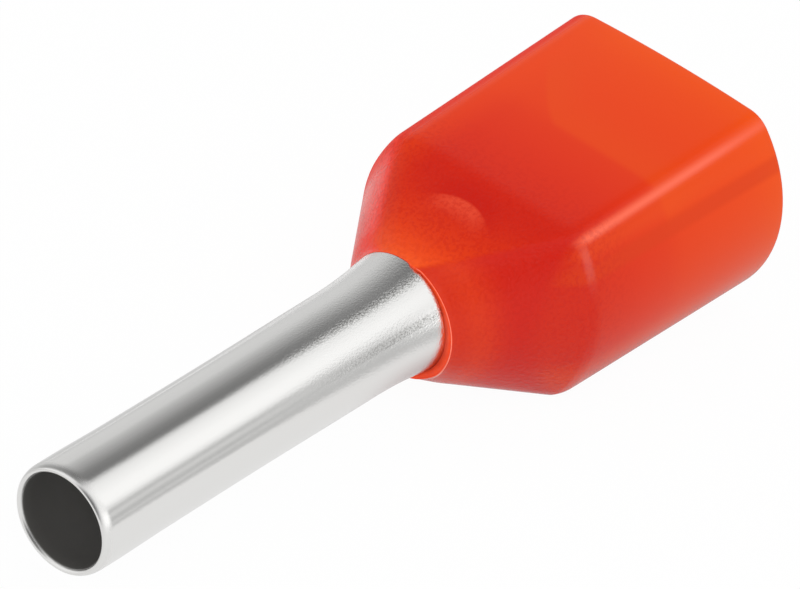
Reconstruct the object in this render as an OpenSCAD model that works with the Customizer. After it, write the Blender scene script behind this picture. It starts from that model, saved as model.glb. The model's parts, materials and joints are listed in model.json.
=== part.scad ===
// Twin wire ferrule: a tinned metal sleeve with a moulded insulating collar
// for two wires side by side. Millimetres. The origin is on the sleeve's axis
// at the collar's front face. +X runs along the sleeve to its mouth, and +Z is
// square to the collar's flat top.

/* [Sleeve] */
// Length of sleeve that stands out of the collar
sleeve_length = 10; // [7:0.5:14]
// Bore of the sleeve's straight part
sleeve_bore = 2.06; // [1.8:0.02:2.2]
// Thickness of the sleeve's wall
sleeve_wall = 0.15; // [0.1:0.01:0.18]
// How far the mouth is belled out, on each side
mouth_bell = 0.02; // [0.01:0.005:0.05]
// Length of the belled mouth
mouth_bell_length = 1.8; // [1:0.1:3]
// How far the flare starts in front of the collar
flare_lead = 1; // [0.5:0.1:1.5]
// How far the flare reaches into the collar
flare_depth = 1.85; // [1.5:0.05:2]
// How far the flare opens out, on each side
flare_rise = 0.56; // [0.4:0.01:0.6]

/* [Collar] */
// Length of the collar along the sleeve's axis
collar_length = 8.25; // [7.5:0.05:10]
// Thickness of the collar around the sleeve at its front face
neck_wall = 0.17; // [0.14:0.01:0.3]
// Distance from the front face to the edge where the shoulders end
shoulder_length = 2.5; // [2.3:0.05:2.8]
// Width of the collar at the shoulder edge
shoulder_width = 6.08; // [5.8:0.02:6.3]
// Height of the collar at the shoulder edge
shoulder_height = 4.12; // [4.04:0.02:4.3]
// How far each side bulges out at the shoulder edge
shoulder_bulge = 0.74; // [0.5:0.02:0.9]
// Corner radius of the outline at the shoulder edge
shoulder_corner = 0.7; // [0.5:0.05:0.9]
// Radius along the shoulder edge
shoulder_round = 1.25; // [0.5:0.05:1.5]
// Width of the collar at its rear rim
rim_width = 6.44; // [6.2:0.02:7]
// Height of the collar at its rear rim
rim_height = 4.42; // [4.36:0.02:4.8]
// How far each side bulges out at the rear rim
rim_bulge = 0.88; // [0.6:0.02:1.2]
// Corner radius of the outline at the rear rim
rim_corner = 0.7; // [0.5:0.05:0.9]
// Radius around the outside of the rear rim
rim_round = 0.08; // [0.04:0.01:0.12]

/* [Pocket] */
// Depth of the pocket that takes the insulated ends of the wires
pocket_depth = 3.4; // [2.5:0.1:4]
// Wall around the pocket
pocket_wall = 0.34; // [0.28:0.02:0.4]
// Width of the ledge at the pocket's floor, where the insulation stops
pocket_ledge = 0.3; // [0.2:0.05:0.4]
// Chamfer inside the rear rim
lead_in = 0.12; // [0.05:0.01:0.15]

/* [Hidden] */

slice = 0.01;          // thickness of the slices that the collar is lofted from
side_steps = 18;       // chords along a bulging side
corner_steps = 5;      // chords round a corner
round_steps = 4;       // slices round the shoulder edge and the rim
flare_steps = 14;      // chords along the flare
lip_steps = 8;         // chords round the lip of the mouth
shoulder_turn = 16;    // degrees that the shoulder edge is rounded through
disc_sides = 64;       // chords round a disc that the collar is lofted from
smallest_corner = 0.1; // corner radius that an inner outline never goes under
$fn = 96;

bore_radius = sleeve_bore / 2;
tube_radius = bore_radius + sleeve_wall;
lip_radius = sleeve_wall / 2;
flare_length = flare_lead + flare_depth;
// One arc runs from the straight tube to the rim of the flare.
flare_arc = (flare_length^2 + flare_rise^2) / (2 * flare_rise);
flare_rim = tube_radius + flare_rise;
body_length = collar_length - shoulder_length;

// Outside radius of the flaring end, from the straight tube to the rim
function flare_radius(x) =
    tube_radius + flare_arc - sqrt(flare_arc^2 - (flare_lead - x)^2);

// Points of the flare as [radius, x], from the rim to the straight tube
function flare_points(inset) = [
    for (i = [0 : flare_steps])
        let (x = -flare_depth + flare_length * i / flare_steps)
        [flare_radius(x) - inset, x]
];

// Points round the lip of the mouth, from the outside to the inside
function lip_points() = [
    for (i = [0 : lip_steps])
        let (a = 180 * i / lip_steps)
        [tube_radius + mouth_bell - lip_radius + lip_radius * cos(a),
         sleeve_length - lip_radius + lip_radius * sin(a)]
];

neck_radius = flare_radius(0) + neck_wall;

function blend(a, b, t) = a + (b - a) * t;

function reversed(points) = [for (i = [len(points) - 1 : -1 : 0]) points[i]];

// Points of an arc about [cy, cz]
function arc(cy, cz, r, from, to, steps) = [
    for (i = [0 : steps])
        let (a = from + (to - from) * i / steps)
        [cy + r * cos(a), cz + r * sin(a)]
];

// Outline of the collar square to its axis: flat top and bottom, bulging
// sides and round corners. w and h are half the width and the height.
function outline(w, h, bulge, corner) =
    let (
        side_r = (h^2 + bulge^2) / (2 * bulge),
        side_y = w - side_r,
        corner_z = h - corner,
        corner_y = side_y + sqrt((side_r - corner)^2 - corner_z^2),
        turn = atan2(corner_z, corner_y - side_y)
    )
    concat(
        arc(side_y, 0, side_r, -turn, turn, side_steps),
        arc(corner_y, corner_z, corner, turn, 90, corner_steps),
        arc(-corner_y, corner_z, corner, 90, 180 - turn, corner_steps),
        arc(-side_y, 0, side_r, 180 - turn, 180 + turn, side_steps),
        arc(-corner_y, -corner_z, corner, 180 + turn, 270, corner_steps),
        arc(corner_y, -corner_z, corner, 270, 360 - turn, corner_steps)
    );

// A thin slice of the collar's body with its rear face at x, drawn in from
// the outside by inset
module body_slice(x, inset) {
    t = (-x - shoulder_length) / body_length;
    translate([x, 0, 0])
        rotate([90, 0, 90])
            linear_extrude(slice)
                polygon(outline(
                    blend(shoulder_width, rim_width, t) / 2 - inset,
                    blend(shoulder_height, rim_height, t) / 2 - inset,
                    blend(shoulder_bulge, rim_bulge, t),
                    max(blend(shoulder_corner, rim_corner, t) - inset, smallest_corner)
                ));
}

// A thin disc across the axis with its rear face at x
module disc_slice(x, radius) {
    translate([x, 0, 0])
        rotate([0, 90, 0])
            cylinder(h = slice, r = radius, $fn = disc_sides);
}

// The collar's outer form: the round neck runs into the flat, drafted body
// over sloping shoulders, and every edge is a little round.
module collar_form() {
    edge_start = shoulder_length + shoulder_round * tan(shoulder_turn / 2);
    hull() {
        disc_slice(-slice, neck_radius);
        for (i = [0 : round_steps]) {
            a = shoulder_turn * i / round_steps;
            body_slice(-edge_start + shoulder_round * sin(a),
                       shoulder_round * (1 - cos(a)));
        }
        for (i = [0 : round_steps]) {
            a = 90 * i / round_steps;
            body_slice(-collar_length + rim_round * (1 - sin(a)),
                       rim_round * (1 - cos(a)));
        }
    }
}

// The seat that the sleeve's tube and flare fill
module sleeve_seat() {
    rotate([0, 90, 0])
        rotate_extrude()
            polygon(concat(
                [[0, -flare_depth]],
                flare_points(0),
                [[0, flare_lead]]
            ));
}

// The way from the pocket down into the flare
module wire_funnel() {
    hull() {
        disc_slice(-flare_depth, flare_rim - sleeve_wall);
        body_slice(-collar_length + pocket_depth - slice, pocket_wall + pocket_ledge);
    }
}

// The pocket for the insulated ends, with its chamfered rim
module wire_pocket() {
    hull() {
        body_slice(-collar_length + pocket_depth - slice, pocket_wall);
        body_slice(-collar_length - slice, pocket_wall);
    }
    // The chamfer starts inside the pocket, so that it crosses the pocket's wall.
    hull() {
        body_slice(-collar_length + 1.5 * lead_in, pocket_wall + 0.5 * lead_in);
        body_slice(-collar_length - slice, pocket_wall - lead_in);
    }
}

module metal_sleeve() {
    color("silver")
        rotate([0, 90, 0])
            rotate_extrude()
                polygon(concat(
                    flare_points(0),
                    [[tube_radius, sleeve_length - mouth_bell_length]],
                    lip_points(),
                    [[bore_radius, sleeve_length - mouth_bell_length]],
                    reversed(flare_points(sleeve_wall))
                ));
}

module plastic_collar() {
    color("#e2442a")
        difference() {
            collar_form();
            sleeve_seat();
            wire_funnel();
            wire_pocket();
        }
}

metal_sleeve();
plastic_collar();
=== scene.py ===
import json
from math import asin, atan, atan2, cos, degrees, pi, radians, sin, sqrt, tan

import bmesh
import bpy
from mathutils import Matrix, Vector


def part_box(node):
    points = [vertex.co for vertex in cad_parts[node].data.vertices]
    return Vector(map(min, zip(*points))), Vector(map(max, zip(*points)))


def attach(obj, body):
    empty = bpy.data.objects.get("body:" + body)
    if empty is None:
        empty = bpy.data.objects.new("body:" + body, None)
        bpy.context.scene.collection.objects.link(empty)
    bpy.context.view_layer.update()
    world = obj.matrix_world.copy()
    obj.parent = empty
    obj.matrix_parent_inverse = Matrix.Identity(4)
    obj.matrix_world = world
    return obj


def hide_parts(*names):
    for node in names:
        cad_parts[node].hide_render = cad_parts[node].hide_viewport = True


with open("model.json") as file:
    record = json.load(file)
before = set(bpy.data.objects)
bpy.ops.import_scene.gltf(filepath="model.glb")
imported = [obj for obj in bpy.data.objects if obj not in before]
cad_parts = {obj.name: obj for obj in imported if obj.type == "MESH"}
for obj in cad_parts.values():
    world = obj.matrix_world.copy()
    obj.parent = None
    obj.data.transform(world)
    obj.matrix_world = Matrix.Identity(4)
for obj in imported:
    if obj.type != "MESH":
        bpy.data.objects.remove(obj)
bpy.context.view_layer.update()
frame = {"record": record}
mounts = {mount["name"]: mount["dims"] for mount in frame["record"]["mounts"]}

# ---------------------------------------------------------------------------
# The metal sleeve: one tube of tinned copper, drawn and cut to length. The
# mouth is rounded and slightly belled, and the end inside the collar is
# flared like a trumpet so that strands slide in. Its axis is the X axis.
# ---------------------------------------------------------------------------
MM = 0.001
sleeve_low, sleeve_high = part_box("metal_sleeve")
tube_radius = mounts["sleeve"]["r_mm"] * MM
bore_radius = mounts["wire_bore"]["r_mm"] * MM
wall = tube_radius - bore_radius
flare_rim = sleeve_high.y
flare_lead = 1.6 * MM
flare_length = flare_lead - sleeve_low.x
flare_arc = (flare_length**2 + (flare_rim - tube_radius) ** 2) / (2 * (flare_rim - tube_radius))
waist, waist_length = 0.012 * MM, 7 * MM
lip_length, lip_drop = 0.28 * MM, 0.09 * MM
lip_start = sleeve_high.x - lip_length
bell, bell_start, bell_end = 0.022 * MM, lip_start - 1.9 * MM, lip_start - 0.35 * MM
inner_round, inner_depth = 0.082 * MM, 0.13 * MM
burr = 0.03 * MM


def ease(value, low, high):
    """0 where value is under low, 1 where it is over high, smooth between them."""
    t = min(1, max(0, (value - low) / (high - low)))
    return t * t * (3 - 2 * t)


def fractions(steps, first=0):
    """The ends of equal steps from 0 to 1, from the given one on."""
    return [i / steps for i in range(first, steps + 1)]


def quarter_turn(steps, first=0):
    """Angles from 0 to a quarter turn in equal steps, from the given one on."""
    return [pi / 2 * t for t in fractions(steps, first)]


def flare_radius(x):
    """Outside radius of the sleeve from the rim of its flare to the straight tube."""
    return tube_radius + flare_arc - sqrt(flare_arc**2 - min(0, x - flare_lead) ** 2)


def drawn_radius(x):
    """Outside radius from the flare to the lip: a slight waist, then the gently belled mouth."""
    t = min(1, (x - flare_lead) / waist_length)
    return tube_radius - waist * sin(pi * t) ** 2 + bell * ease(x, bell_start, bell_end)


outer = [sleeve_low.x + burr + (flare_length - burr) * t for t in fractions(26)]
drawn = [flare_lead + (lip_start - flare_lead) * t for t in fractions(60, 1)]
lip_face = drawn_radius(lip_start) - lip_drop
rim_r = flare_radius(sleeve_low.x + burr)
profile = [(x, flare_radius(x)) for x in outer] + [(x, drawn_radius(x)) for x in drawn]
profile += [(lip_start + lip_length * sin(a), lip_face + lip_drop * cos(a)) for a in quarter_turn(18, 1)]
profile += [(sleeve_high.x - inner_depth * (1 - cos(a)), lip_face - inner_round * sin(a))
            for a in quarter_turn(10, 1)]
profile += [(x, bore_radius) for x in reversed(drawn)]
profile += [(x, flare_radius(x) - wall) for x in reversed(outer)]
profile += [(sleeve_low.x + burr - burr * sin(a), rim_r - wall + burr - burr * cos(a))
            for a in quarter_turn(4, 1)]
profile += [(sleeve_low.x + burr - burr * cos(a), rim_r - burr + burr * sin(a))
            for a in quarter_turn(4)[:-1]]

mesh = bmesh.new()
points = [mesh.verts.new((x, 0, r)) for x, r in profile]
edges = [mesh.edges.new((a, b)) for a, b in zip(points, points[1:] + points[:1])]
bmesh.ops.spin(mesh, geom=points + edges, cent=(0, 0, 0), axis=(1, 0, 0), angle=2 * pi,
               steps=160, use_merge=True)


def new_object(mesh, name):
    """A new object in the scene from a bmesh, at the origin."""
    data = bpy.data.meshes.new(name)
    mesh.to_mesh(data)
    mesh.free()
    made = bpy.data.objects.new(name, data)
    bpy.context.scene.collection.objects.link(made)
    return made


def finish_piece(mesh, name, node):
    """A welded, smooth piece from a bmesh, riding on the one body, in place of its node."""
    bmesh.ops.remove_doubles(mesh, verts=mesh.verts, dist=0.0005 * MM)
    bmesh.ops.recalc_face_normals(mesh, faces=mesh.faces)
    piece = new_object(mesh, name)
    piece.data.polygons.foreach_set("use_smooth", [True] * len(piece.data.polygons))
    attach(piece, "root")
    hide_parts(node)
    return piece


sleeve = finish_piece(mesh, "sleeve", "metal_sleeve")


def empty_tree(block):
    """The node tree of a new material or world, cleared."""
    block.use_nodes = True
    block.node_tree.nodes.clear()
    return block.node_tree


def shader(tree, kind, inputs=None, **settings):
    """Adds a node, sets its fields, and fills its inputs with values or links."""
    node = tree.nodes.new(kind)
    for field, value in settings.items():
        setattr(node, field, value)
    for socket, value in (inputs or {}).items():
        if isinstance(value, bpy.types.NodeSocket):
            tree.links.new(value, node.inputs[socket])
        else:
            node.inputs[socket].default_value = value
    return node


def math_node(tree, operation, a, b=0.0, **settings):
    """One Math node; gives its output."""
    return shader(tree, "ShaderNodeMath", {0: a, 1: b}, operation=operation, **settings).outputs[0]


def product(tree, *factors):
    """The factors multiplied together."""
    result = factors[0]
    for factor in factors[1:]:
        result = math_node(tree, "MULTIPLY", result, factor)
    return result


def step_up(tree, value, low, high, to_low=0.0, to_high=1.0):
    """A smooth step: to_low where value is at low or beyond, to_high where it is at high or beyond."""
    return shader(tree, "ShaderNodeMapRange", {"Value": value, "From Min": low, "From Max": high,
                                               "To Min": to_low, "To Max": to_high},
                  interpolation_type="SMOOTHSTEP").outputs["Result"]


def mix_colour(tree, amount, base, other):
    """Base where amount is 0, other where it is 1; each is an output or a red, green and blue."""
    base, other = [(*rgb, 1) if isinstance(rgb, tuple) else rgb for rgb in (base, other)]
    return shader(tree, "ShaderNodeMix", {0: amount, 6: base, 7: other}, data_type="RGBA").outputs[2]


def split(tree, vector):
    """The X, Y and Z of a vector."""
    return shader(tree, "ShaderNodeSeparateXYZ", {0: vector}).outputs


def object_mm(tree):
    """The shaded point in object coordinates, in millimetres."""
    place = shader(tree, "ShaderNodeTexCoord").outputs["Object"]
    return shader(tree, "ShaderNodeVectorMath", {0: place, 1: (1 / MM,) * 3}, operation="MULTIPLY").outputs[0]


def distance(tree, y, z):
    """The distance from the X axis of a point at y and z."""
    squares = math_node(tree, "ADD", product(tree, y, y), product(tree, z, z))
    return math_node(tree, "SQRT", squares)


def arrange(tree):
    """Sets a tree's nodes out in columns by their distance from its end."""
    column = {node.name: 0 for node in tree.nodes}
    for _ in tree.nodes:
        for link in tree.links:
            column[link.from_node.name] = max(column[link.from_node.name], column[link.to_node.name] + 1)
    filled = {}
    for node in tree.nodes:
        place = column[node.name]
        filled[place] = filled.get(place, 0) + 1
        node.location = (-220 * place, -200 * filled[place])


# Fine grain that both the tinning and the moulding have, in millimetres:
# Stretch draws it out along the sleeve's axis.
grain_group = bpy.data.node_groups.new("surface_grain", "ShaderNodeTree")
for socket, default in (("Grains per mm", 20.0), ("Stretch", 1.0), ("Roughness", 0.5)):
    made = grain_group.interface.new_socket(name=socket, in_out="INPUT", socket_type="NodeSocketFloat")
    made.default_value = default
grain_group.interface.new_socket(name="Height", in_out="OUTPUT", socket_type="NodeSocketFloat")
group_in = shader(grain_group, "NodeGroupInput").outputs
squeeze = shader(grain_group, "ShaderNodeCombineXYZ", {
    "X": math_node(grain_group, "DIVIDE", 1.0, group_in["Stretch"]), "Y": 1.0, "Z": 1.0}).outputs[0]
place = shader(grain_group, "ShaderNodeVectorMath", {0: object_mm(grain_group), 1: squeeze},
               operation="MULTIPLY").outputs[0]
noise = shader(grain_group, "ShaderNodeTexNoise", {
    "Vector": place, "Scale": group_in["Grains per mm"], "Detail": 4.0, "Roughness": group_in["Roughness"]})
shader(grain_group, "NodeGroupOutput", {"Height": noise.outputs["Fac"]})
arrange(grain_group)


def grain(tree, per_mm, stretch, rough):
    """Places the surface_grain group; gives its height."""
    inputs = {"Grains per mm": per_mm, "Stretch": stretch, "Roughness": rough}
    return shader(tree, "ShaderNodeGroup", inputs, node_tree=grain_group).outputs["Height"]


# Tinned copper: bright, with fine draw lines along the tube, a pitted grain
# that is stronger near the collar, and a dull bore painted dark grey as painted shade.
tin = bpy.data.materials.new("tinned_copper")
tree = empty_tree(tin)
x_mm, y_mm, z_mm = split(tree, object_mm(tree))
outside = step_up(tree, distance(tree, y_mm, z_mm), 1.033, 1.05)
draw_lines = grain(tree, 16.0, 60.0, 0.6)
pits = grain(tree, 24.0, 1.2, 0.6)
height = math_node(tree, "ADD", product(tree, draw_lines, 0.14),
                   product(tree, pits, step_up(tree, x_mm, 6.5, 0.5, 0.25, 1.6)))
bump = shader(tree, "ShaderNodeBump", {"Height": height, "Strength": 1.0, "Distance": 0.0042 * MM})
# Painted shade inside the bore: dark grey, darkest near the mouth.
bore_painted_shade = mix_colour(tree, step_up(tree, x_mm, 9.9, 7.5), (0.085, 0.082, 0.077), (0.40, 0.39, 0.375))
# Close to the collar the underside is painted darker and reddish, a painted reflection of the red collar.
collar_painted_reflection = product(tree, step_up(tree, x_mm, 2.8, 0.2), step_up(tree, z_mm, 0.15, -0.6))
skin = mix_colour(tree, collar_painted_reflection, (0.87, 0.865, 0.85), (0.55, 0.46, 0.45))
# Two speckled bands of painted reflection run out of the collar along the tube,
# at the angles where dark parts of the room are mirrored.
round_tube = product(tree, math_node(tree, "ARCTAN2", y_mm, z_mm), 180 / pi)
side_painted_reflection = product(tree, step_up(tree, round_tube, 53.0, 56.0), step_up(tree, round_tube, 63.5, 62.0),
               step_up(tree, x_mm, 4.5, 0.8, 0.0, 0.9))
top_painted_reflection = product(tree, step_up(tree, round_tube, 14.0, 19.0), step_up(tree, round_tube, 27.0, 21.0),
               step_up(tree, x_mm, 5.5, 1.5))
speckle = step_up(tree, grain(tree, 30.0, 1.3, 0.6), 0.46, 0.60)
painted_reflection_bands = math_node(tree, "ADD", product(tree, side_painted_reflection, step_up(tree, speckle, 0.0, 1.0, 0.25, 1.0)),
                 product(tree, top_painted_reflection, speckle), use_clamp=True)
skin = mix_colour(tree, painted_reflection_bands, skin, (0.50, 0.495, 0.48))
roughness = math_node(tree, "ADD", step_up(tree, outside, 0.0, 1.0, 0.6, 0.10), math_node(
    tree, "ADD", product(tree, pits, 0.08), step_up(tree, x_mm, 9.70, 9.90, 0.0, 0.16)))
metal = shader(tree, "ShaderNodeBsdfPrincipled", {
    "Base Color": mix_colour(tree, outside, bore_painted_shade, skin), "Roughness": roughness,
    "Metallic": outside, "Normal": bump.outputs[0]})
shader(tree, "ShaderNodeOutputMaterial", {"Surface": metal.outputs[0]})
arrange(tree)
sleeve.data.materials.append(tin)

# ---------------------------------------------------------------------------
# The plastic collar: one moulding of translucent red plastic that grips the
# flare of the sleeve. Its round neck widens over sloping shoulders into a flat
# body with bulging sides, and the rear is an open pocket for two wires.
# ---------------------------------------------------------------------------
collar_low, collar_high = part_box("plastic_collar")
collar_length = -collar_low.x
neck_radius = 1.42 * MM
shoulder = {"x": 2.5 * MM, "w": 3.04 * MM, "h": 2.06 * MM, "bulge": 0.74 * MM, "corner": 0.7 * MM,
            "crown": 0.015 * MM}
rim = {"x": collar_length, "w": collar_high.y, "h": collar_high.z, "bulge": 0.89 * MM,
       "corner": 0.68 * MM, "crown": 0.055 * MM}
askew_neck, askew_rim = Vector((0.058, -0.06)) * MM, Vector((-0.045, -0.02)) * MM
edge_round, edge_turn = 1.26 * MM, radians(16.2)
rim_round, lead_in = 0.1 * MM, 0.12 * MM
pocket_depth, pocket_wall, ledge = 3.4 * MM, 0.34 * MM, 0.3 * MM
floor_round, ledge_round, least_corner = 0.14 * MM, 0.06 * MM, 0.12 * MM
fit, rim_gap = 0.004 * MM, 0.01 * MM
side_steps, corner_steps, flat_steps = 12, 10, 18


def mirrored(first, x=None):
    """A whole ring from its points in the first quarter; with x, set askew as the moulding is there."""
    left = [(-y, z) for y, z in reversed(first[:-1])]
    below = [(y, -z) for y, z in reversed((first + left)[1:-1])]
    askew = Vector((0, 0)) if x is None else askew_neck.lerp(askew_rim, x / collar_length)
    return [(y + askew.x, z + askew.y) for y, z in first + left + below]


def body_ring(x, inset):
    """The collar's outline at -x, drawn in by inset: flat top, round corners, bulging sides."""
    t = (x - shoulder["x"]) / (rim["x"] - shoulder["x"])
    size = {k: shoulder[k] + (rim[k] - shoulder[k]) * t for k in shoulder}
    w, h = size["w"] - inset, size["h"] - size["crown"] - inset
    corner = max(size["corner"] - inset, least_corner)
    side_r = (h * h + size["bulge"] ** 2) / (2 * size["bulge"])
    corner_z = h - corner
    corner_y = w - side_r + sqrt((side_r - corner) ** 2 - corner_z**2)
    turn = asin(corner_z / (side_r - corner))
    first = [(w - side_r + side_r * cos(turn * t), side_r * sin(turn * t))
             for t in fractions(side_steps)[:-1]]
    for t in fractions(corner_steps)[:-1]:
        a = turn + (pi / 2 - turn) * t
        first.append((corner_y + corner * cos(a), corner_z + corner * sin(a)))
    for t in fractions(flat_steps):
        first.append((corner_y * (1 - t), h + size["crown"] * (1 - (1 - t) ** 2)))
    return mirrored(first, x)


def round_ring(r, x=None):
    """A circle with its points spread as the outline's are: side, corner and flat top."""
    spans = ((0, 45, side_steps), (45, 73.5, corner_steps), (73.5, 90, flat_steps))
    turns = [radians(a + (b - a) * t) for a, b, n in spans for t in fractions(n)[:-1]] + [pi / 2]
    return mirrored([(r * cos(a), r * sin(a)) for a in turns], x)


def between(a, b, t):
    """The ring part of the way from ring a to ring b."""
    return [(p[0] + (q[0] - p[0]) * t, p[1] + (q[1] - p[1]) * t) for p, q in zip(a, b)]


# Stations go from the neck's front face over the outside, round the rim and
# back inside. The first ones carry a thin ridge of flash round the face's edge.
stations = [(x * MM, round_ring(neck_radius - inset * MM, 0)) for x, inset in
            ((0, 0.06), (0, 0.045), (0.014, 0.034), (0.012, 0.02), (-0.01, 0.008), (-0.04, 0))]
neck_x, neck_ring = stations[-1]
edge_start = shoulder["x"] + edge_round * tan(edge_turn / 2)
slope_x = edge_start - edge_round * sin(edge_turn)
slope_ring = body_ring(slope_x, edge_round * (1 - cos(edge_turn)))
for t in fractions(26, 1)[:-1]:
    stations.append((neck_x - (slope_x + neck_x) * t, between(neck_ring, slope_ring, t)))
for t in fractions(8):
    a = edge_turn * (1 - t)
    stations.append((edge_round * sin(a) - edge_start,
                     body_ring(edge_start - edge_round * sin(a), edge_round * (1 - cos(a)))))
for t in fractions(30, 1):
    x = edge_start + (collar_length - rim_round - edge_start) * t
    stations.append((-x, body_ring(x, 0)))
for a in quarter_turn(6, 1):
    x = collar_length - rim_round * (1 - sin(a))
    stations.append((-x, body_ring(x, rim_round * (1 - cos(a)))))
for a in quarter_turn(6):
    x = collar_length - lead_in * (1 - cos(a))
    stations.append((-x, body_ring(x, pocket_wall - lead_in + lead_in * sin(a))))
for t in fractions(16, 1):
    x = collar_length - lead_in - (pocket_depth - lead_in - floor_round) * t
    stations.append((-x, body_ring(x, pocket_wall)))
pocket_floor = collar_length - pocket_depth
for a in quarter_turn(5, 1):
    x = pocket_floor + floor_round * (1 - sin(a))
    stations.append((-x, body_ring(x, pocket_wall + floor_round * (1 - cos(a)))))
for a in quarter_turn(5):
    x = pocket_floor - ledge_round * (1 - cos(a))
    stations.append((-x, body_ring(x, pocket_wall + ledge - ledge_round * (1 - sin(a)))))
funnel_x, funnel_end = ledge_round - pocket_floor, sleeve_low.x - rim_gap
funnel_ring, flare_mouth = body_ring(-funnel_x, pocket_wall + ledge), round_ring(flare_rim - wall)
for t in fractions(14, 1):
    stations.append((funnel_x + (funnel_end - funnel_x) * t, between(funnel_ring, flare_mouth, t)))
stations.append((funnel_end, round_ring(flare_rim + fit)))
# The seat follows the flare, from its rim to the front face.
seat = [(sleeve_low.x * t, round_ring(flare_radius(sleeve_low.x * t) + fit)) for t in fractions(16)]
stations += reversed(seat)

nub, nub_reach, nub_width = 0.04 * MM, 0.2 * MM, 0.12 * MM
thinning, least_neck, neck_reach = 0.055 * MM, 0.05 * MM, 0.5 * MM
face_lean, seat_lean, lean_reach = 0.04 * MM, 0.055 * MM, 0.6 * MM


def ring_point(station, index):
    """A point of a station, moved where the neck isn't true: the flash fades out on one side and has
    a nub, the top and bottom are thin but stay outside the sleeve, and the face leans."""
    x, (y, z) = station[0], station[1][index]
    turn, r = degrees(atan2(y, z)), sqrt(y * y + z * z)
    flash = ease(turn, 12, 20) * (1 - ease(turn, 135, 160))
    raised = nub * ease(turn, 3, 9) * (1 - ease(turn, 13, 20)) * ease(x, -nub_reach, 0)
    x = (x * flash if x > 0 else x) + raised * (x < 0 or r > neck_radius - nub_width)
    seated, kept = station in seat, r
    if not seated and x > -neck_reach:
        thin = ease(turn, -110, -70) * (1 - ease(turn, 0, 20)) + ease(abs(turn), 110, 145)
        gap = r - thinning * thin * ease(x, -neck_reach, 0) - flare_radius(x)
        least = least_neck * ease(x, -neck_reach, -neck_reach / 5)
        kept = flare_radius(x) + (gap + sqrt(gap**2 + least**2)) / 2
    lean = seat_lean if seated else face_lean
    x += lean * sin(radians(turn - 20)) * ease(x, -lean_reach, -0.02 * MM)
    if seated:
        kept = flare_radius(x) + fit
    return Vector((x, y * kept / r, z * kept / r))


mesh = bmesh.new()
spot = mesh.verts.layers.int.new("spot")
ring = [mesh.verts.new(ring_point(stations[0], i)) for i in range(len(neck_ring))]
for i, vertex in enumerate(ring):
    vertex[spot] = i
rows = [mesh.edges.new((a, b)) for a, b in zip(ring, ring[1:] + ring[:1])]
for station in stations[1:] + stations[:1]:
    grown = bmesh.ops.extrude_edge_only(mesh, edges=rows)["geom"]
    rows = [item for item in grown if isinstance(item, bmesh.types.BMEdge)]
    for item in grown:
        if isinstance(item, bmesh.types.BMVert):
            item.co = ring_point(station, item[spot])
collar = finish_piece(mesh, "collar", "plastic_collar")


def colour_ramp(tree, value, stops, interpolation):
    """A ramp through the stops, each a position and a red, green and blue; gives its colour."""
    node = shader(tree, "ShaderNodeValToRGB", {"Fac": value})
    ramp = node.color_ramp
    ramp.interpolation = interpolation
    while len(ramp.elements) < len(stops):
        ramp.elements.new(0.5)
    for element, (position, rgb) in zip(ramp.elements, stops):
        element.position = position
        element.color = (*rgb, 1)
    return node.outputs["Color"]


# Red moulding with painted light and shade: paler where light passes the thin wall round the pocket,
# deepest in painted shade behind the rim of the flare, with a fine orange-peel grain on the front slopes.
red = bpy.data.materials.new("red_plastic")
tree = empty_tree(red)
x_mm, y_mm, z_mm = split(tree, object_mm(tree))
# Red and green from the neck to the rim, with a trace of blue that is stronger at the neck; the
# changes along the length are painted light that passes through the plastic.
stops = [(0.0, (0.93, 0.100)), (0.03, (0.86, 0.070)), (0.09, (0.73, 0.037)), (0.17, (0.66, 0.023)),
         (0.25, (0.595, 0.011)), (0.33, (0.655, 0.019)), (0.44, (0.71, 0.025)), (0.56, (0.74, 0.034)),
         (0.63, (0.785, 0.047)), (0.75, (0.805, 0.053)), (0.90, (0.825, 0.062)), (1.0, (0.87, 0.085))]
stops = [(t, (r, g, 0.003 + 0.18 * max(0, 0.06 - t))) for t, (r, g) in stops]
red_shade = colour_ramp(tree, math_node(tree, "DIVIDE", x_mm, collar_low.x / MM), stops, "B_SPLINE")
across = math_node(tree, "ABSOLUTE", y_mm)
on_top = step_up(tree, z_mm, 1.2, 1.6)
on_side = step_up(tree, across, 2.2, 2.6)
facing_x, facing_y, facing_z = split(tree, shader(tree, "ShaderNodeNewGeometry").outputs["Normal"])
# The pocket's floor shows as a step across the top, bent back on one side: just behind it
# the thin wall is painted paler, as light that passes through it, fading towards the rim.
bend = math_node(tree, "POWER", math_node(
    tree, "MAXIMUM", math_node(tree, "SUBTRACT", -0.3, y_mm), 0.0), 1.3)
floor_line = math_node(tree, "ADD", x_mm, product(tree, bend, 0.9))
step = product(tree, step_up(tree, floor_line, -4.74, -4.96), step_up(tree, floor_line, -6.4, -5.0),
               on_top, step_up(tree, y_mm, -2.2, -1.2, 0.0, 0.55))
red_shade = mix_colour(tree, step, red_shade, (0.80, 0.066, 0.003))
# The near flank of the shoulders is painted deeper as painted shade, from a line that starts at the neck.
flank_line = math_node(tree, "ADD", across, product(tree, x_mm, 0.778))
flank_shade = product(tree, step_up(tree, flank_line, 0.25, 0.45), step_up(tree, x_mm, -2.65, -2.40, 0.0, 0.95),
                step_up(tree, y_mm, -0.4, 0.4))
shaded_flank_red = mix_colour(tree, step_up(tree, x_mm, -0.2, -1.2), red_shade, (0.61, 0.0115, 0.003))
shaded_flank_red = mix_colour(tree, step_up(tree, x_mm, -0.9, -0.1, 0.0, 0.9), shaded_flank_red, (0.62, 0.018, 0.003))
red_shade = mix_colour(tree, flank_shade, red_shade, shaded_flank_red)
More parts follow.
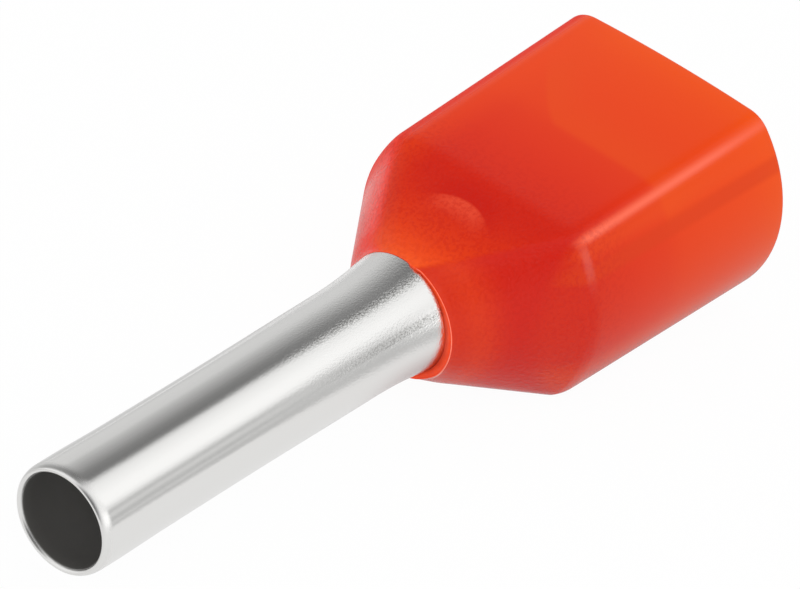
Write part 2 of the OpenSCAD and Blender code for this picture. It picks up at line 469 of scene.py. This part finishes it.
# The rim of the flare shows through the top of the shoulder, painted as a pale crescent of light
# in front of a crescent of painted shade.
crescent = math_node(tree, "SUBTRACT", x_mm, product(tree, y_mm, y_mm, 0.45))
shadow = product(tree, step_up(tree, crescent, -2.6, -1.95), step_up(tree, crescent, -1.80, -1.88, 0.0, 0.55),
                 on_top, step_up(tree, across, 1.3, 0.3))
red_shade = mix_colour(tree, shadow, red_shade, (0.55, 0.005, 0.001))
glint = product(tree, step_up(tree, crescent, -1.88, -1.80), step_up(tree, crescent, -1.25, -1.72),
                step_up(tree, across, 0.85, 0.2), on_top)
red_shade = mix_colour(tree, glint, red_shade, (0.76, 0.058, 0.022))
# Bands of painted light run along the bulging sides above and below, and between them a darker streak,
# a painted reflection of a dark seam of the room.
side_painted_light = product(tree, math_node(tree, "ADD", step_up(tree, z_mm, 1.3, 1.7, 0.1, 0.45),
                                step_up(tree, z_mm, -0.6, -1.2, 0.0, 0.30)), on_side)
red_shade = mix_colour(tree, side_painted_light, red_shade, (0.82, 0.080, 0.003))
side_painted_dark_reflection = product(tree, step_up(tree, z_mm, 1.02, 1.18), step_up(tree, z_mm, 1.50, 1.34, 0.0, 0.55), on_side)
red_shade = mix_colour(tree, side_painted_dark_reflection, red_shade, (0.68, 0.042, 0.001))
# The far edge of the top is painted paler too, as painted light, but its rounded corner is matt
# and painted deeper as shade, and the far slope of the shoulder has a pink painted sheen.
far_edge_painted_light = product(tree, on_top, step_up(tree, y_mm, -1.2, -2.2, 0.0, 0.5))
red_shade = mix_colour(tree, far_edge_painted_light, red_shade, (0.84, 0.060, 0.003))
far_corner_matt_shade = product(tree, step_up(tree, facing_y, -0.15, -0.6), step_up(tree, x_mm, -1.5, -2.6))
red_shade = mix_colour(tree, far_corner_matt_shade, red_shade, (0.84, 0.022, 0.001))
far_slope_painted_sheen = product(tree, step_up(tree, facing_y, -0.40, -0.64), step_up(tree, x_mm, -2.7, -2.3))
red_shade = mix_colour(tree, far_slope_painted_sheen, red_shade, (0.93, 0.035, 0.014))
# The neck's front face is painted paler as light, and the flash round its edge paler still, as a painted
# highlight.
front_face_painted_light = product(tree, step_up(tree, x_mm, -0.09, -0.05), step_up(tree, facing_x, 0.45, 0.85))
red_shade = mix_colour(tree, front_face_painted_light, red_shade, (0.97, 0.085, 0.012))
from_neck = distance(tree, math_node(tree, "SUBTRACT", y_mm, 0.056), math_node(tree, "ADD", z_mm, 0.06))
flash_painted_highlight = product(tree, step_up(tree, from_neck, 1.380, 1.390), step_up(tree, from_neck, 1.412, 1.402),
                     step_up(tree, x_mm, -0.06, -0.02), step_up(tree, y_mm, 0.32, 0.40))
red_shade = mix_colour(tree, flash_painted_highlight, red_shade, (1.0, 0.34, 0.24))
# The near corner of the top is polished, so it carries a bright line, and its colour is a painted
# highlight there too; the upper part of the edge where the shoulder meets the side is polished and carries
# one too.
polish_and_painted_highlight = product(tree, step_up(tree, facing_y, 0.40, 0.64), step_up(tree, facing_z, 0.64, 0.80),
                 step_up(tree, x_mm, -2.2, -2.8, 0.12, 1.0), step_up(tree, x_mm, -8.6, -6.0, 0.45, 1.0))
red_shade = mix_colour(tree, polish_and_painted_highlight, red_shade, (0.93, 0.092, 0.018))
bent = product(tree, step_up(tree, facing_x, 0.04, 0.14), step_up(tree, facing_x, 0.34, 0.22),
               step_up(tree, z_mm, 0.5, 1.5, 0.0, 0.5), step_up(tree, facing_y, 0.5, 0.75))
# The grain's hollows are painted darker as painted shade, and most of all on the slopes.
peel = grain(tree, 12.0, 1.0, 0.55)
peel_height = product(tree, peel, math_node(tree, "ADD", step_up(tree, x_mm, -3.4, -2.0), 0.15))
bump = shader(tree, "ShaderNodeBump", {"Height": peel_height, "Strength": 1.0, "Distance": 0.014 * MM})
grain_painted_shade = product(tree, step_up(tree, peel, 0.44, 0.62), step_up(tree, x_mm, -4.2, -2.2, 0.0, 0.38),
                 step_up(tree, x_mm, -0.3, -1.0, 0.45, 1.0))
red_shade = mix_colour(tree, grain_painted_shade, red_shade, (0.56, 0.010, 0.002))
# Light that has passed through the wall is painted as a glow that brightens the front face.
front_face_glow = mix_colour(tree, front_face_painted_light, (0, 0, 0), (0.19, 0.003, 0))
plastic = shader(tree, "ShaderNodeBsdfPrincipled", {
    "Base Color": red_shade, "Roughness": step_up(tree, far_corner_matt_shade, 0.0, 1.0, 0.2, 0.6), "IOR": 1.32,
    "Coat Weight": math_node(tree, "MAXIMUM", polish_and_painted_highlight, bent), "Coat Roughness": 0.12, "Coat IOR": 1.6,
    "Emission Color": front_face_glow, "Emission Strength": 1.0, "Normal": bump.outputs[0]})
shader(tree, "ShaderNodeOutputMaterial", {"Surface": plastic.outputs[0]})
arrange(tree)
collar.data.materials.append(red)

# ---------------------------------------------------------------------------
# The studio: a pale floor that the ferrule lies on, touching it with the lip
# of the mouth and the lower shoulder edge, one soft lamp, and a plain room.
# ---------------------------------------------------------------------------
lip_x, lip_z, floor_gap = lip_start, -drawn_radius(lip_start), 0.005 * MM
slope = max((lip_z - v.co.z) / (lip_x - v.co.x) for v in collar.data.vertices if v.co.x < -MM)
mesh = bmesh.new()
bmesh.ops.create_grid(mesh, x_segments=1, y_segments=1, size=1.5)
bmesh.ops.rotate(mesh, verts=mesh.verts, cent=(0, 0, 0), matrix=Matrix.Rotation(-atan(slope), 3, "Y"))
bmesh.ops.translate(mesh, verts=mesh.verts, vec=(lip_x, 0, lip_z - floor_gap))
floor = new_object(mesh, "floor")

# Mirrored in the ferrule the floor is grey, greyest behind it, with a painted shadow under the
# collar and a paler patch of painted light beyond the far shoulder. The camera sees it white.
paper = bpy.data.materials.new("floor_paper")
tree = empty_tree(paper)
x_mm, y_mm, z_mm = split(tree, object_mm(tree))
rays = shader(tree, "ShaderNodeLightPath").outputs
painted_light_patch = product(tree, step_up(tree, x_mm, -3.0, -4.5), step_up(tree, x_mm, -10.0, -8.0),
               step_up(tree, y_mm, -4.5, -6.5, 0.0, 0.38))
# Painted shadow of the collar on the floor, seen only in reflections.
under = product(tree, step_up(tree, x_mm, -2.0, -4.0), step_up(tree, y_mm, -3.5, -2.0, 0.0, 0.34))
grey = math_node(tree, "ADD", step_up(tree, y_mm, -2.0, -7.0, 0.84, 0.60),
                 math_node(tree, "SUBTRACT", painted_light_patch, under))
grey = math_node(tree, "MAXIMUM", grey, rays["Is Camera Ray"])
glow = shader(tree, "ShaderNodeEmission", {"Color": grey, "Strength": 1.0})
matt = shader(tree, "ShaderNodeBsdfDiffuse", {"Color": (0.88, 0.88, 0.88, 1)})
seen = math_node(tree, "ADD", product(tree, rays["Is Camera Ray"], 0.97),
                 product(tree, rays["Is Glossy Ray"], 0.9))
mixed = shader(tree, "ShaderNodeMixShader", {0: seen, 1: matt.outputs[0], 2: glow.outputs[0]})
shader(tree, "ShaderNodeOutputMaterial", {"Surface": mixed.outputs[0]})
arrange(tree)
floor.data.materials.append(paper)

# The room as the sleeve mirrors it, in degrees round the X axis from straight
# up: a grey side, a dark stretch overhead, a white screen, and two dark seams.
world = bpy.data.worlds.new("studio")
bpy.context.scene.world = world
tree = empty_tree(world)
direction = shader(tree, "ShaderNodeTexCoord").outputs["Generated"]
ray_x, ray_y, ray_z = split(tree, direction)
turn = math_node(tree, "MULTIPLY_ADD", math_node(tree, "ARCTAN2", ray_y, ray_z), 1 / (2 * pi))
turn.node.inputs[2].default_value = 0.5
room_stops = [(-180, 0.75), (-142, 0.72), (-130, 0.62), (-118, 0.54), (-106, 0.52), (-98, 0.62),
              (-86, 0.71), (-58, 0.68), (-50, 0.55), (-34, 0.40), (-18, 0.24), (-6, 0.19), (1, 0.24),
              (6, 0.75), (14, 0.93), (38, 1.07), (54, 1.08), (62, 0.90), (70, 0.50), (77, 0.74),
              (86, 0.48), (93, 0.74), (104, 0.80), (180, 0.80)]
room_stops = [(angle / 360 + 0.5, (grey,) * 3) for angle, grey in room_stops]
room = colour_ramp(tree, turn, room_stops, "LINEAR")
# The grey side is much darker away from the ferrule's rear.
overhead = product(tree, step_up(tree, turn, 0.24, 0.28), step_up(tree, turn, 0.50, 0.46, 0.0, 0.55),
                   step_up(tree, ray_x, -0.52, -0.25))
room = shader(tree, "ShaderNodeMix", {0: 1.0, 6: room, 7: math_node(tree, "SUBTRACT", 1.0, overhead)},
              data_type="RGBA", blend_type="MULTIPLY").outputs[2]
# In front of the mouth the room is plain and falls dark round the lens, with a
# bright strip on one side.
toward_lens = shader(tree, "ShaderNodeVectorMath", {0: direction, 1: (0.64, 0.477, 0.602)},
                     operation="DOT_PRODUCT").outputs["Value"]
strip = product(tree, step_up(tree, turn, 0.670, 0.695), step_up(tree, turn, 0.765, 0.735),
                step_up(tree, ray_x, 0.0, -0.15))
room_front = math_node(tree, "ADD", product(tree, strip, 0.4),
                       step_up(tree, toward_lens, 0.70, 0.97, 0.95, 0.13))
front_edge = math_node(tree, "ADD", step_up(tree, turn, 0.5, 0.67, 0.04, -0.56),
                       step_up(tree, turn, 0.27, 0.20, 0.0, -0.26))
ahead = step_up(tree, math_node(tree, "SUBTRACT", ray_x, front_edge), 0.0, 0.16)
room = mix_colour(tree, ahead, room, room_front)
# The pieces mirror that room, are lit evenly, and stand before white.
rays = shader(tree, "ShaderNodeLightPath").outputs
room = mix_colour(tree, rays["Is Glossy Ray"], (0.90, 0.90, 0.90), room)
room = mix_colour(tree, rays["Is Camera Ray"], room, (1.0, 1.0, 1.0))
light = shader(tree, "ShaderNodeBackground", {"Color": room, "Strength": 1.0})
shader(tree, "ShaderNodeOutputWorld", {"Surface": light.outputs[0]})
arrange(tree)

lamp = bpy.data.lights.new("soft_box", "AREA")
lamp.shape = "DISK"
lamp.size = 0.12
lamp.energy = 0.035
soft_box = bpy.data.objects.new("soft_box", lamp)
soft_box.location = (0.03, 0.07, 0.10)
soft_box.rotation_euler = Vector(soft_box.location).to_track_quat("Z", "Y").to_euler()
soft_box.visible_glossy = False
bpy.context.scene.collection.objects.link(soft_box)

camera_data = bpy.data.cameras.new("camera")
camera_data.sensor_width = 36
camera_data.lens = 585
camera_data.clip_start = 0.01
camera_data.clip_end = 10
camera = bpy.data.objects.new("camera", camera_data)
right = Vector((-0.653157, 0.750667, 0.099421))
down = Vector((0.404826, 0.457126, -0.791929))
back = Vector((0.639923, 0.477006, 0.602465))
camera.matrix_world = Matrix.Translation(Vector((164.824, 122.863, 155.63)) * MM) @ Matrix(
    (right, -down, back)).transposed().to_4x4()
bpy.context.scene.collection.objects.link(camera)
bpy.context.scene.camera = camera
bpy.context.scene.view_settings.view_transform = "Standard"
